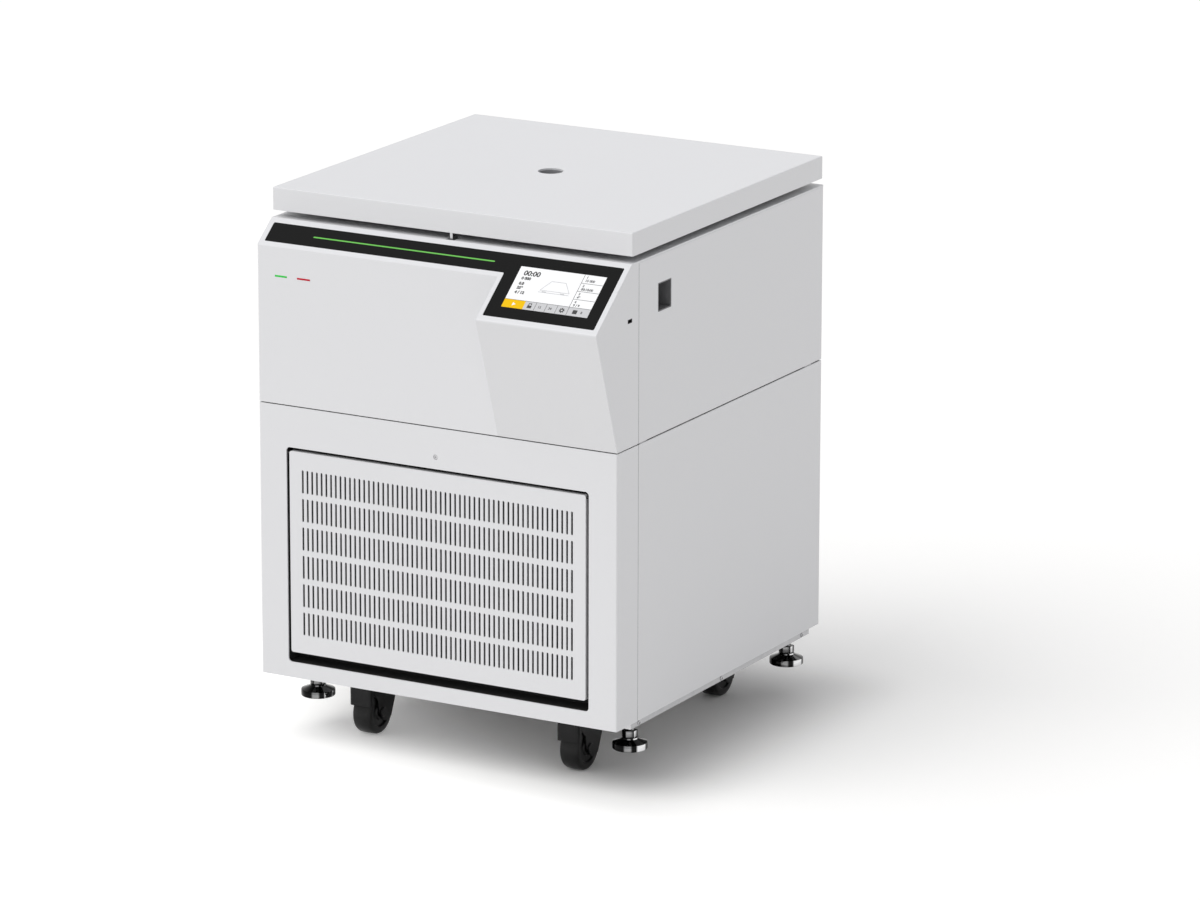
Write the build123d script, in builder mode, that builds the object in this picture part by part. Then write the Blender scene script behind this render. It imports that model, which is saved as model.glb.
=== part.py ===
from build123d import *
import os

os.makedirs("parts", exist_ok=True)

# Driving dimensions in millimetres: origin on the floor under the middle, front towards -Y
half_width = 350.0
front_y = -330.0
back_y = 402.5
side_seam_y = -258.0
panel_bottom_z = 121.0
split_z = 603.5
seam_gap = 2.0
slope_z = 878.3
deck_z = 916.8
deck_front_y = -281.8
block_lip_y = -403.2
block_lip_z = 820.4
block_left_top_x = 121.6
sheet = 2.5
plate = 3.0
fascia_wall = 7.0
running_gap = 0.05

# The control fascia leans back by this plane: local x runs along X, local y runs up the slope
slope_run = 0.7818
slope_rise = 0.6235
fascia = Plane(origin=(0, front_y, slope_z), x_dir=(1, 0, 0), z_dir=(0, -slope_rise, slope_run))

# Chamber, rotor and lid
axis_y = 61.0
bowl_radius = 225.0
bowl_floor_z = 610.0
bowl_rim_z = 906.0
guard_inner = 262.0
guard_outer = 276.0
motor_deck_z = 550.0
shaft_radius = 12.0
trunnion_z = 735.0
trunnion_radius = 110.0
rotor_radius = 135.0
pocket_half = 46.0
cup_radius = 38.0
cup_inner = 34.0
cup_drop = 95.0
cup_rise = 25.0
pin_radius = 4.0

lid_bottom_z = 928.8
lid_top_z = 968.5
lid_front_y = -279.3
lid_back_y = 399.7
hinge_y = 379.7
hinge_z = 948.7
hinge_x = 190.0
hinge_pin_radius = 5.0
viewport_radius = 22.0
striker_y = -266.0
slot_y0 = -280.0
slot_y1 = -252.0
slot_half = 8.0

# Grille door
door_half = 290.0
door_bottom_z = 167.0
door_top_z = 524.2
opening_half = 296.0
opening_bottom_z = 148.5
opening_top_z = 530.6
door_axis_y = -326.5
door_axis_z = 520.2
slot_columns = 57
slot_rows = 6
slot_pitch_x = 9.42
slot_pitch_z = 50.5
slot_height = 41.0
slot_width = 3.8
slot_top_z = 493.0

# Underside
frame_z = 111.0
frame_front_y = -277.0
frame_back_y = 370.0
foot_x = 310.0
foot_ys = (-212.0, 357.0)
spindle_radius = 8.0
caster_x = 206.0
caster_ys = (-202.0, 288.0)
caster_trail = 24.0
wheel_radius = 40.0
corner_names = ("front_left", "front_right", "rear_left", "rear_right")


def corner_list(x, ys):
    return ((-x, ys[0]), (x, ys[0]), (-x, ys[1]), (x, ys[1]))


def finish(builder, name):
    builder.part.label = name
    export_step(builder.part, f"parts/{name}.step")


def box_between(x0, x1, y0, y1, z0, z1, mode=Mode.ADD):
    with Locations(((x0 + x1) / 2, (y0 + y1) / 2, (z0 + z1) / 2)):
        Box(abs(x1 - x0), abs(y1 - y0), abs(z1 - z0), mode=mode)


def disc(x, y, z0, z1, radius, mode=Mode.ADD):
    with Locations((x, y, (z0 + z1) / 2)):
        Cylinder(radius, z1 - z0, mode=mode)


# Base frame: a folded pan with caster plates under it and weld nuts for the feet
pan_top_z = frame_z + plate
pan_wall_z = 150.0
nut_top_z = 130.0
caster_plate_z = 108.0
stem_radius = 6.0
beam_ys = (-150.0, 235.0)

with BuildPart() as base_frame:
    box_between(-347.5, 347.5, frame_front_y, frame_back_y, frame_z, pan_wall_z)
    box_between(-344.5, 344.5, frame_front_y + plate, frame_back_y - plate, pan_top_z, pan_wall_z,
                mode=Mode.SUBTRACT)
    for beam_y in beam_ys:
        box_between(-344.5, 344.5, beam_y - 15, beam_y + 15, pan_top_z, pan_top_z + 30)
    for x, y in corner_list(foot_x, foot_ys):
        if y > 0:
            box_between(x - 11, x + 11, y - 14, y + 10, pan_top_z, nut_top_z)
        else:
            disc(x, y, pan_top_z, nut_top_z, 13)
    for x, y in corner_list(caster_x, caster_ys):
        box_between(x - 42, x + 42, y + caster_trail - 36, y + caster_trail + 36, caster_plate_z, frame_z)
    with Locations(*[(x, y, pan_top_z) for x, y in corner_list(foot_x, foot_ys)]):
        Cylinder(spindle_radius + running_gap, 80, mode=Mode.SUBTRACT)
    with Locations(*[(x, y + caster_trail, pan_top_z) for x, y in corner_list(caster_x, caster_ys)]):
        Cylinder(stem_radius + running_gap, 20, mode=Mode.SUBTRACT)
finish(base_frame, "base_frame")

# Inner frame: four posts, two top rails and the motor deck plate
post = 25.0
post_front_y = -250.0
post_back_y = 343.0
rail_z = 888.8
deck_sheet_z = 913.8
motor_deck_thickness = 10.0

with BuildPart() as inner_frame:
    for side in (-1, 1):
        for y in (post_front_y, post_back_y):
            box_between(side * (347.5 - post), side * 347.5, y, y + post, pan_wall_z, deck_sheet_z)
            box_between(side * (347.5 - post), side * 344.5, y, y + post - 4, pan_top_z, pan_wall_z)
        box_between(side * (347.5 - post), side * 347.5, post_front_y, post_back_y + post,
                    rail_z, deck_sheet_z)
    box_between(-347.5, 347.5, post_front_y, post_back_y + post,
                motor_deck_z - motor_deck_thickness, motor_deck_z)
    disc(0, axis_y, motor_deck_z - 20, motor_deck_z + 10, 20, mode=Mode.SUBTRACT)
finish(inner_frame, "inner_frame")

# Side panels: flat sheets with a narrow rear flange, upper and lower on each side
rear_flange = 16.0
pocket_y0 = -192.0
pocket_y1 = -146.0
pocket_z0 = 816.0
pocket_z1 = 865.5
edge_round = 1.2


def side_panel(side, z0, z1, pocket):
    with BuildPart() as panel:
        box_between(side * (half_width - sheet), side * half_width, side_seam_y + 1, back_y, z0, z1)
        box_between(side * (half_width - rear_flange), side * half_width, back_y - sheet, back_y, z0, z1)
        outer = panel.faces().sort_by(Axis.X)[-1 if side > 0 else 0]
        fillet(outer.edges(), edge_round)
        if pocket:
            box_between(300, 360, pocket_y0, pocket_y1, pocket_z0, pocket_z1, mode=Mode.SUBTRACT)
    return panel


for side, side_name in ((-1, "left"), (1, "right")):
    finish(side_panel(side, panel_bottom_z, split_z - seam_gap / 2, False), f"side_panel_{side_name}_lower")
    finish(side_panel(side, split_z + seam_gap / 2, deck_sheet_z, side > 0), f"side_panel_{side_name}_upper")

# Lower front cover: a U-shaped sheet with the door opening and the recessed lock screw
lock_screw_z = 551.4
lock_screw_radius = 4.5
corner_round = 3.0

with BuildPart() as front_cover_lower:
    with BuildSketch(Plane.XY.offset(panel_bottom_z)) as cover_outline:
        with Locations((0, (front_y + side_seam_y) / 2)):
            Rectangle(2 * half_width, side_seam_y - front_y)
        fillet(cover_outline.vertices().group_by(Axis.Y)[0], corner_round)
        with Locations((0, (front_y + side_seam_y) / 2 + sheet)):
            Rectangle(2 * (half_width - sheet), side_seam_y - front_y, mode=Mode.SUBTRACT)
    extrude(amount=split_z - seam_gap / 2 - panel_bottom_z)
    with BuildSketch(Plane.XZ.offset(-front_y)):
        with Locations((0, (opening_bottom_z + opening_top_z) / 2)):
            RectangleRounded(2 * opening_half, opening_top_z - opening_bottom_z, 7)
        with Locations((0, lock_screw_z)):
            Circle(lock_screw_radius)
    extrude(amount=-10, mode=Mode.SUBTRACT)
    box_between(-half_width + sheet, half_width - sheet, front_y + sheet, front_y + 22,
                panel_bottom_z, panel_bottom_z + sheet)
finish(front_cover_lower, "front_cover_lower")

# Upper front cover: front wall, leaning fascia, side returns and the screen block
cover_bottom_z = split_z + seam_gap / 2
cover_top_z = deck_sheet_z
fascia_top_y = front_y + (cover_top_z - slope_z) * slope_run / slope_rise
block_depth = front_y - block_lip_y
block_height = block_lip_z - cover_bottom_z
inner_slope_dy = fascia_wall * slope_rise
inner_slope_dz = fascia_wall * slope_run
inner_front_y = front_y + sheet


def on_inner_slope(y):
    return slope_z - inner_slope_dz + (y - front_y - inner_slope_dy) * slope_rise / slope_run


inner_top_z = cover_top_z - sheet
inner_top_y = front_y + inner_slope_dy + (inner_top_z - slope_z + inner_slope_dz) * slope_run / slope_rise
block_inner_lip_y = block_lip_y + 9
block_front_lean = block_depth / block_height

with BuildPart() as front_cover_upper:
    with BuildSketch(Plane.YZ.offset(-half_width)):
        with BuildLine():
            Polyline((front_y, cover_bottom_z), (front_y, slope_z), (fascia_top_y, cover_top_z),
                     (side_seam_y, cover_top_z), (side_seam_y, cover_bottom_z), close=True)
        make_face()
    extrude(amount=2 * half_width)
    left_edges = front_cover_upper.edges().filter_by(Axis.Z).group_by(Axis.Y)[0]
    fillet(left_edges, corner_round)
    with BuildSketch(Plane.YZ.offset(block_left_top_x)):
        with BuildLine():
            Polyline((front_y + 3, cover_bottom_z), (front_y, cover_bottom_z), (block_lip_y, block_lip_z),
                     (front_y, slope_z), (front_y + 3, slope_z), close=True)
        make_face()
    extrude(amount=half_width - block_left_top_x)
    lip_edges = front_cover_upper.edges().filter_by(Axis.X).group_by(Axis.Y)[0]
    fillet(lip_edges, 4)
    with BuildSketch(Plane.YZ.offset(-half_width + sheet)):
        with BuildLine():
            Polyline((inner_front_y, cover_bottom_z - 1), (inner_front_y, on_inner_slope(inner_front_y)),
                     (inner_top_y, inner_top_z), (side_seam_y + 1, inner_top_z),
                     (side_seam_y + 1, cover_bottom_z - 1), close=True)
        make_face()
    extrude(amount=2 * (half_width - sheet), mode=Mode.SUBTRACT)
    with BuildSketch(Plane.YZ.offset(block_left_top_x + 8)):
        with BuildLine():
            Polyline((inner_front_y + 1, cover_bottom_z + 25),
                     (front_y - 25 * block_front_lean + 4, cover_bottom_z + 25),
                     (block_inner_lip_y, on_inner_slope(block_inner_lip_y) - 4),
                     (block_inner_lip_y, on_inner_slope(block_inner_lip_y)),
                     (inner_front_y + 1, on_inner_slope(inner_front_y + 1)), close=True)
        make_face()
    extrude(amount=half_width - sheet - block_left_top_x - 8, mode=Mode.SUBTRACT)

# Openings of the upper front cover: glass recess, lamps and USB
glass_left = -340.0
glass_right = 341.0
strip_low = 10.0
strip_high = 51.0
screen_left = 129.5
screen_low = -82.0
glass_thickness = 3.0
lamp_z = 828.0
lamp_height = 3.0
lamp_places = ((-303.0, 24.0), (-258.0, 26.0))
usb_y = -288.0
usb_z = 821.0
usb_long = 15.0
usb_high = 7.0


def glass_points(inset):
    return ((glass_left + inset, strip_low + inset), (glass_left + inset, strip_high - inset),
            (glass_right - inset, strip_high - inset), (glass_right - inset, screen_low + inset),
            (screen_left + inset, screen_low + inset), (screen_left + inset, strip_low + inset))


with front_cover_upper:
    with BuildSketch(fascia) as recess:
        with BuildLine():
            Polyline(*glass_points(0), close=True)
        make_face()
        fillet(recess.vertices(), 2.5)
    extrude(amount=-glass_thickness, mode=Mode.SUBTRACT)
    extrude(recess.sketch, amount=10, mode=Mode.SUBTRACT)
    for lamp_x, lamp_width in lamp_places:
        box_between(lamp_x - lamp_width / 2, lamp_x + lamp_width / 2, front_y - 1, front_y + 5,
                    lamp_z - lamp_height / 2, lamp_z + lamp_height / 2, mode=Mode.SUBTRACT)
    box_between(300, 360, usb_y - usb_long / 2, usb_y + usb_long / 2, usb_z - usb_high / 2,
                usb_z + usb_high / 2, mode=Mode.SUBTRACT)
    box_between(-slot_half, slot_half, slot_y0, slot_y1, 905, 930, mode=Mode.SUBTRACT)
finish(front_cover_upper, "front_cover_upper")

# Control glass with flush recesses for the display and the light bar
screen_x0 = 155.0
screen_x1 = 318.0
screen_s0 = -59.0
screen_s1 = 28.0
inlay = 0.8
bar_x0 = -252.0
bar_x1 = 102.5
bar_s = 30.5
bar_width = 2.6
glass_inset = 0.3

with BuildPart() as control_glass:
    with BuildSketch(fascia.offset(-glass_thickness)) as glass_face:
        with BuildLine():
            Polyline(*glass_points(glass_inset), close=True)
        make_face()
        fillet(glass_face.vertices(), 2.3)
    extrude(amount=glass_thickness)
    with BuildSketch(fascia):
        with Locations(((screen_x0 + screen_x1) / 2, (screen_s0 + screen_s1) / 2)):
            Rectangle(screen_x1 - screen_x0, screen_s1 - screen_s0)
        with Locations(((bar_x0 + bar_x1) / 2, bar_s)):
            SlotOverall(bar_x1 - bar_x0, bar_width)
    extrude(amount=-inlay, mode=Mode.SUBTRACT)
finish(control_glass, "control_glass")

with BuildPart() as display_screen:
    with BuildSketch(fascia.offset(-inlay)):
        with Locations(((screen_x0 + screen_x1) / 2, (screen_s0 + screen_s1) / 2)):
            Rectangle(screen_x1 - screen_x0, screen_s1 - screen_s0)
    extrude(amount=inlay)
finish(display_screen, "display_screen")

with BuildPart() as status_light_bar:
    with BuildSketch(fascia.offset(-inlay)):
        with Locations(((bar_x0 + bar_x1) / 2, bar_s)):
            SlotOverall(bar_x1 - bar_x0, bar_width)
    extrude(amount=inlay)
finish(status_light_bar, "status_light_bar")

with BuildPart() as indicator_lamps:
    for lamp_x, lamp_width in lamp_places:
        box_between(lamp_x - lamp_width / 2, lamp_x + lamp_width / 2, front_y - 0.3, front_y + sheet,
                    lamp_z - lamp_height / 2, lamp_z + lamp_height / 2)
finish(indicator_lamps, "indicator_lamps")

usb_depth = 16.0
with BuildPart() as usb_socket:
    box_between(half_width - usb_depth, half_width - 0.2, usb_y - usb_long / 2, usb_y + usb_long / 2,
                usb_z - usb_high / 2, usb_z + usb_high / 2)
    box_between(half_width - usb_depth + 3, half_width, usb_y - usb_long / 2 + 1, usb_y + usb_long / 2 - 1,
                usb_z - usb_high / 2 + 0.9, usb_z + usb_high / 2 - 0.9, mode=Mode.SUBTRACT)
    box_between(half_width - usb_depth + 2, half_width - 3, usb_y - 5.5, usb_y + 5.5,
                usb_z + 0.6, usb_z + 1.8)
finish(usb_socket, "usb_socket")

# Switch pocket with the power rocker on its back wall
pocket_depth = 26.0
pocket_wall = 2.0
pocket_mid_y = (pocket_y0 + pocket_y1) / 2
pocket_mid_z = (pocket_z0 + pocket_z1) / 2
rocker_half_y = 8.0
rocker_half_z = 15.0
rocker_x = half_width - pocket_depth + 1.0
rocker_pin_radius = 1.5

with BuildPart() as switch_pocket:
    box_between(half_width - pocket_depth - 12, half_width - 0.3, pocket_y0, pocket_y1, pocket_z0, pocket_z1)
    box_between(half_width - pocket_depth, half_width + 1, pocket_y0 + pocket_wall, pocket_y1 - pocket_wall,
                pocket_z0 + pocket_wall, pocket_z1 - pocket_wall, mode=Mode.SUBTRACT)
    box_between(half_width - pocket_depth - 9, half_width - pocket_depth + 1, pocket_mid_y - rocker_half_y - 0.6,
                pocket_mid_y + rocker_half_y + 0.6, pocket_mid_z - rocker_half_z - 1.2,
                pocket_mid_z + rocker_half_z + 1.2, mode=Mode.SUBTRACT)
    with Locations(Pos(half_width - pocket_depth - 3, pocket_mid_y, pocket_mid_z) * Rot(90, 0, 0)):
        Cylinder(rocker_pin_radius, 2 * rocker_half_y + 4)
finish(switch_pocket, "switch_pocket")

with BuildPart() as power_rocker:
    with BuildSketch(Plane.XZ.offset(-pocket_mid_y - rocker_half_y)):
        with BuildLine():
            Polyline((rocker_x - 7.5, pocket_mid_z - 9), (rocker_x + 2.5, pocket_mid_z - rocker_half_z),
                     (rocker_x + 5.5, pocket_mid_z - rocker_half_z), (rocker_x + 3, pocket_mid_z),
                     (rocker_x + 5.5, pocket_mid_z + rocker_half_z),
                     (rocker_x + 2.5, pocket_mid_z + rocker_half_z),
                     (rocker_x - 7.5, pocket_mid_z + 9), close=True)
        make_face()
    extrude(amount=2 * rocker_half_y)
    with Locations(Pos(half_width - pocket_depth - 3, pocket_mid_y, pocket_mid_z) * Rot(90, 0, 0)):
        Cylinder(rocker_pin_radius + running_gap, 40, mode=Mode.SUBTRACT)
finish(power_rocker, "power_rocker")

# Door recess: a duct behind the opening with pin stubs for the door
recess_front_y = front_y + sheet
recess_back_y = -287.0
recess_wall = 3.0

with BuildPart() as door_recess:
    box_between(-opening_half - recess_wall, opening_half + recess_wall, recess_front_y, recess_back_y,
                opening_bottom_z - recess_wall, opening_top_z + recess_wall)
    box_between(-opening_half, opening_half, recess_front_y - 1, recess_back_y - 2,
                opening_bottom_z, opening_top_z, mode=Mode.SUBTRACT)
    box_between(-opening_half + 40, opening_half - 40, recess_front_y - 1, recess_back_y + 1,
                opening_bottom_z + 30, opening_top_z - 30, mode=Mode.SUBTRACT)
    for side in (-1, 1):
        with Locations(Pos(side * (opening_half - 4.5), door_axis_y + 0.5, door_axis_z) * Rot(0, 90, 0)):
            Cylinder(2.0, 10)
finish(door_recess, "door_recess")

# Grille door: slotted sheet with a folded rim
door_rim = 12.0
with BuildPart() as grille_door:
    with BuildSketch(Plane.XZ.offset(-front_y)):
        with Locations((0, (door_bottom_z + door_top_z) / 2)):
            RectangleRounded(2 * door_half, door_top_z - door_bottom_z, 4)
    extrude(amount=-door_rim)
    box_between(-door_half + 2, door_half - 2, front_y + 2, front_y + 30, door_bottom_z + 2, door_top_z - 2,
                mode=Mode.SUBTRACT)
    with BuildSketch(Plane.XZ.offset(-front_y)):
        with Locations((0, slot_top_z - slot_height / 2 - slot_pitch_z * (slot_rows - 1) / 2)):
            with GridLocations(slot_pitch_x, slot_pitch_z, slot_columns, slot_rows):
                SlotOverall(slot_height, slot_width, rotation=90)
    extrude(amount=-4, mode=Mode.SUBTRACT)
    with Locations(*[Pos(side * (door_half - 1), door_axis_y + 0.5, door_axis_z) * Rot(0, 90, 0)
                     for side in (-1, 1)]):
        Cylinder(2.0 + running_gap, 12, mode=Mode.SUBTRACT)
finish(grille_door, "grille_door")

# Condenser, fan and fan motor behind the door
fan_z = 325.0
fan_front_y = -232.0
fan_back_y = -208.0
fan_shaft_radius = 4.0
with BuildPart() as condenser:
    box_between(-262, 262, recess_back_y, -245, 172, 508)
finish(condenser, "condenser")

with BuildPart() as fan_motor:
    with Locations(Pos(0, -168, fan_z) * Rot(90, 0, 0)):
        Cylinder(38, 60)
    with Locations(Pos(0, -214, fan_z) * Rot(90, 0, 0)):
        Cylinder(fan_shaft_radius, 34)
    box_between(-20, 20, -164, -136, pan_top_z + 30, fan_z)
finish(fan_motor, "fan_motor")

with BuildPart() as fan_wheel:
    with Locations(Pos(0, (fan_front_y + fan_back_y) / 2, fan_z) * Rot(90, 0, 0)):
        Cylinder(32, fan_back_y - fan_front_y)
    for index in range(5):
        with Locations(Pos(0, (fan_front_y + fan_back_y) / 2, fan_z) * Rot(0, 72 * index, 0)
                       * Pos(0, 0, 74) * Rot(0, 0, 35)):
            Box(38, 3, 92)
    with Locations(Pos(0, (fan_front_y + fan_back_y) / 2, fan_z) * Rot(90, 0, 0)):
        Cylinder(fan_shaft_radius + running_gap, 60, mode=Mode.SUBTRACT)
finish(fan_wheel, "fan_wheel")

# Compressor and electronics box on the pan
with BuildPart() as compressor:
    box_between(-265, -95, 60, 190, pan_top_z, pan_top_z + 6)
    with Locations((-180, 125, 210)):
        Cylinder(78, 180)
    fillet(compressor.edges().filter_by(GeomType.CIRCLE).group_by(Axis.Z)[-1], 30)
finish(compressor, "compressor")

with BuildPart() as electronics_box:
    box_between(110, 310, -110, 200, pan_top_z, 320)
    fillet(electronics_box.edges().filter_by(Axis.Z), 4)
finish(electronics_box, "electronics_box")

# Rear panel with vent slots and the mains inlet
rear_y0 = back_y - 2 * sheet
rear_y1 = back_y - sheet
inlet_x = -240.0
inlet_z = 210.0
with BuildPart() as rear_panel:
    box_between(-347.5, 347.5, rear_y0, rear_y1, panel_bottom_z, deck_sheet_z)
    with BuildSketch(Plane.XZ.offset(-rear_y1)):
        for vent_x, vent_z in ((70, 300), (0, 740)):
            with Locations((vent_x, vent_z)):
                with GridLocations(12, 60, 25, 3):
                    SlotOverall(48, 5, rotation=90)
    extrude(amount=10, both=True, mode=Mode.SUBTRACT)
    box_between(inlet_x - 14, inlet_x + 14, rear_y0 - 5, back_y, inlet_z - 12, inlet_z + 12,
                mode=Mode.SUBTRACT)
finish(rear_panel, "rear_panel")

with BuildPart() as mains_inlet:
    box_between(inlet_x - 25, inlet_x + 25, rear_y1, back_y - 0.3, inlet_z - 16, inlet_z + 16)
    fillet(mains_inlet.edges().filter_by(Axis.Y), 3)
    box_between(inlet_x - 14, inlet_x + 14, rear_y1 - 30, rear_y1, inlet_z - 12, inlet_z + 12)
    box_between(inlet_x - 12, inlet_x + 12, rear_y1 - 18, back_y, inlet_z - 8, inlet_z + 8,
                mode=Mode.SUBTRACT)
    for pin_x, pin_z in ((-7, -2), (0, 3), (7, -2)):
        box_between(inlet_x + pin_x - 1, inlet_x + pin_x + 1, rear_y1 - 19, rear_y1 - 4,
                    inlet_z + pin_z - 2, inlet_z + pin_z + 2)
finish(mains_inlet, "mains_inlet")

# Guard ring, bowl and seal around the rotor
with BuildPart() as guard_ring:
    disc(0, axis_y, motor_deck_z, bowl_rim_z, guard_outer)
    disc(0, axis_y, motor_deck_z - 5, bowl_rim_z + 5, guard_inner, mode=Mode.SUBTRACT)
finish(guard_ring, "guard_ring")

bowl_wall = 2.0
bowl_corner = 30.0
with BuildPart() as chamber_bowl:
    with BuildSketch(Plane.XZ.offset(-axis_y)):
        with BuildLine():
            Polyline((16, bowl_floor_z), (bowl_radius - bowl_corner, bowl_floor_z))
            RadiusArc((bowl_radius - bowl_corner, bowl_floor_z), (bowl_radius, bowl_floor_z + bowl_corner),
                      -bowl_corner)
            Polyline((bowl_radius, bowl_floor_z + bowl_corner), (bowl_radius, bowl_rim_z + bowl_wall),
                     (guard_outer, bowl_rim_z + bowl_wall), (guard_outer, bowl_rim_z),
                     (bowl_radius + bowl_wall, bowl_rim_z),
                     (bowl_radius + bowl_wall, bowl_floor_z + bowl_corner))
            RadiusArc((bowl_radius + bowl_wall, bowl_floor_z + bowl_corner),
                      (bowl_radius - bowl_corner, bowl_floor_z - bowl_wall), bowl_corner + bowl_wall)
            Polyline((bowl_radius - bowl_corner, bowl_floor_z - bowl_wall), (16, bowl_floor_z - bowl_wall),
                     (16, bowl_floor_z))
        make_face()
    revolve(axis=Axis((0, axis_y, 0), (0, 0, 1)))
finish(chamber_bowl, "chamber_bowl")

seal_inner = 236.0
seal_outer = 254.0
liner_pad_z = 927.1
with BuildPart() as chamber_seal:
    with BuildSketch(Plane.XZ.offset(-axis_y)):
        with BuildLine():
            Polyline((seal_inner, bowl_rim_z + bowl_wall), (seal_outer, bowl_rim_z + bowl_wall),
                     (seal_outer, deck_z), (seal_outer - 5, liner_pad_z - 0.3), (seal_outer - 10, liner_pad_z - 0.3),
                     (seal_inner, deck_z), close=True)
        make_face()
    revolve(axis=Axis((0, axis_y, 0), (0, 0, 1)))
finish(chamber_seal, "chamber_seal")

# Deck plate with the chamber opening and the striker slot
with BuildPart() as deck_plate:
    with BuildSketch(Plane.YZ.offset(-half_width)):
        with BuildLine():
            Polyline((deck_front_y - 3.8, deck_sheet_z), (deck_front_y, deck_z), (back_y, deck_z),
                     (back_y, deck_sheet_z), close=True)
        make_face()
    extrude(amount=2 * half_width)
    fillet(deck_plate.faces().sort_by(Axis.Z)[-1].edges().filter_by(Axis.Y), edge_round)
    disc(0, axis_y, 900, 930, seal_outer + 1, mode=Mode.SUBTRACT)
    box_between(-slot_half, slot_half, slot_y0, slot_y1, 900, 930, mode=Mode.SUBTRACT)
finish(deck_plate, "deck_plate")

# Drive motor under the motor deck, and its shaft
motor_low_z = 330.0
shaft_low_z = 480.0
shaft_top_z = 775.0
with BuildPart() as drive_motor:
    disc(0, axis_y, motor_low_z, motor_deck_z - motor_deck_thickness, 92)
    disc(0, axis_y, motor_deck_z - 30, motor_deck_z - motor_deck_thickness, 115)
    disc(0, axis_y, shaft_low_z - 0.5, motor_deck_z, shaft_radius + running_gap, mode=Mode.SUBTRACT)
finish(drive_motor, "drive_motor")

with BuildPart() as drive_shaft:
    disc(0, axis_y, shaft_low_z, shaft_top_z, shaft_radius)
    chamfer(drive_shaft.edges().group_by(Axis.Z)[-1], 2)
finish(drive_shaft, "drive_shaft")

# Swing-out rotor: a hub plate with four pockets and a trunnion pin on each pocket wall
rotor_plate = 24.0
pocket_floor_radius = 62.0
rotor_plane = Plane.XY.offset(trunnion_z - rotor_plate / 2)
with BuildPart() as rotor:
    with BuildSketch(rotor_plane):
        with Locations((0, axis_y)):
            Circle(rotor_radius)
            with PolarLocations(pocket_floor_radius + 50, 4):
                Rectangle(100, 2 * pocket_half, mode=Mode.SUBTRACT)
    extrude(amount=rotor_plate)
    disc(0, axis_y, trunnion_z - 25, trunnion_z + 16, 40)
    for index in range(4):
        place = Pos(0, axis_y, trunnion_z) * Rot(0, 0, 90 * index) * Pos(trunnion_radius, 0, 0)
        for side in (-1, 1):
            with Locations(place * Pos(0, side * (pocket_half - 3), 0) * Rot(90, 0, 0)):
                Cylinder(pin_radius, 9)
    disc(0, axis_y, 700, 800, shaft_radius, mode=Mode.SUBTRACT)
finish(rotor, "rotor")

with BuildPart() as rotor_nut:
    disc(0, axis_y, trunnion_z + 16, trunnion_z + 50, 26)
    disc(0, axis_y, trunnion_z + 10, shaft_top_z, shaft_radius, mode=Mode.SUBTRACT)
    with BuildSketch(Plane.XY.offset(trunnion_z + 50)):
        with Locations((0, axis_y)):
            with PolarLocations(30, 8):
                Circle(8)
    extrude(amount=-26, mode=Mode.SUBTRACT)
    chamfer(rotor_nut.edges().group_by(Axis.Z)[-1], 1.5)
finish(rotor_nut, "rotor_nut")

# Four swing-out buckets with trunnion ears, open at the top
for index in range(4):
    place = Pos(0, axis_y, trunnion_z) * Rot(0, 0, 90 * index) * Pos(trunnion_radius, 0, 0)
    with BuildPart() as bucket:
        with BuildSketch(Plane.XY.offset(-cup_drop)):
            Circle(cup_radius)
        extrude(amount=cup_drop + cup_rise)
        fillet(bucket.edges().group_by(Axis.Z)[0], 6)
        with BuildSketch(Plane.XY.offset(-12)):
            Rectangle(18, 2 * (pocket_half - 1.5))
        extrude(amount=22)
        with BuildSketch(Plane.XY.offset(-cup_drop + 5)):
            Circle(cup_inner)
        extrude(amount=cup_drop + cup_rise, mode=Mode.SUBTRACT)
        with Locations(*[Pos(0, side * (pocket_half - 1), 0) * Rot(90, 0, 0) for side in (-1, 1)]):
            Cylinder(pin_radius + running_gap, 2 * (pocket_half - 1 - cup_radius), mode=Mode.SUBTRACT)
    placed = place * bucket.part
    placed.label = f"bucket_{index + 1}"
    export_step(placed, f"parts/bucket_{index + 1}.step")

# Lid: a deep shell, a liner that closes it from below, and a viewport
lid_wall = 3.0
notch_half = 8.0
with BuildPart() as lid_shell:
    box_between(-half_width, half_width, lid_front_y, lid_back_y, lid_bottom_z, lid_top_z)
    fillet(lid_shell.edges().filter_by(Axis.Z), 2.5)
    fillet(lid_shell.faces().sort_by(Axis.Z)[-1].edges(), 2)
    box_between(-half_width + lid_wall, half_width - lid_wall, lid_front_y + lid_wall, lid_back_y - lid_wall,
                lid_bottom_z - 1, lid_top_z - lid_wall, mode=Mode.SUBTRACT)
    disc(0, axis_y, 930, 980, viewport_radius, mode=Mode.SUBTRACT)
    for side in (-1, 1):
        box_between(side * hinge_x - notch_half, side * hinge_x + notch_half, hinge_y, lid_back_y + 5,
                    lid_bottom_z - 5, hinge_z + 14, mode=Mode.SUBTRACT)
finish(lid_shell, "lid_shell")

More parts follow.
